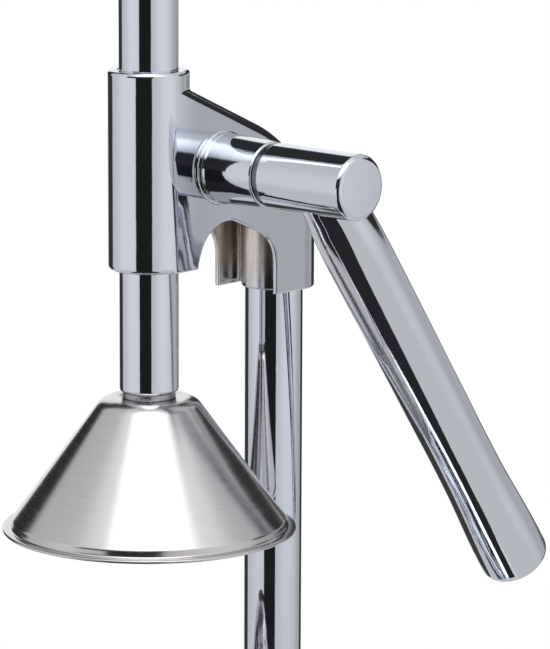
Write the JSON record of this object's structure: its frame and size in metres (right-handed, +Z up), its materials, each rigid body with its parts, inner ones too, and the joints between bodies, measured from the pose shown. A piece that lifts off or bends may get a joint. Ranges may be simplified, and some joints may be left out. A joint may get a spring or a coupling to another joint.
{
  "type": "lever citrus juice press",
  "caption": "Free-standing citrus press: a side lever turns a pinion that drives a racked ram and press cone down onto a strainer cone over a funnel, on a column and round foot.",
  "frame": {"origin": "on the table plane, under the ram's axis", "axes": "+Z up along the ram, +Y from the ram to the column, +X from the ram to the lever"},
  "size_m": [0.19, 0.2189, 0.542],
  "materials": {
    "chrome": "bright chrome plate",
    "brushed_sheet": "circumferentially brushed stainless sheet",
    "plain_steel": "turned steel",
    "bronze": "sintered bronze",
    "rubber": "matte black rubber"
  },
  "bodies": {
    "frame": {"base_casting": "chrome", "base_pad": "rubber", "column_tube": "chrome", "column_plug": "plain_steel", "column_washer": "plain_steel", "column_bolt": "plain_steel", "head_casting": "chrome", "head_grub_screws": "plain_steel", "near_bush": "bronze", "far_bush": "bronze", "far_cap": "chrome", "support_arm": "chrome", "arm_clamp_screw": "plain_steel", "juice_funnel": "brushed_sheet", "strainer_cone": "brushed_sheet"},
    "ram": {"ram_rod": "chrome", "ram_cap": "chrome", "cone_spacer": "plain_steel", "press_cone": "brushed_sheet", "cone_washer": "plain_steel", "cone_screw": "plain_steel"},
    "lever": {"pinion_shaft": "plain_steel", "pinion_gear": "plain_steel", "pinion_key": "plain_steel", "hub_ring": "plain_steel", "lever_hub": "chrome", "lever_arm": "chrome", "hub_grub_screw": "plain_steel", "shaft_circlip": "plain_steel"}
  },
  "joints": [
    {"name": "lever_turn", "type": "hinge", "parent": "frame", "child": "lever", "pos_m": [0, 0.02375, 0.40673], "axis": [1, 0, 0], "range_deg": [-30, 300]},
    {"name": "ram_slide", "type": "slide", "parent": "frame", "child": "ram", "axis": [0, 0, -1], "range_m": [-0.0087, 0.0865]}
  ],
  "couplings": [
    {"joint": "ram_slide", "follows": "lever_turn", "m_per_rad": 0.0165}
  ]
}
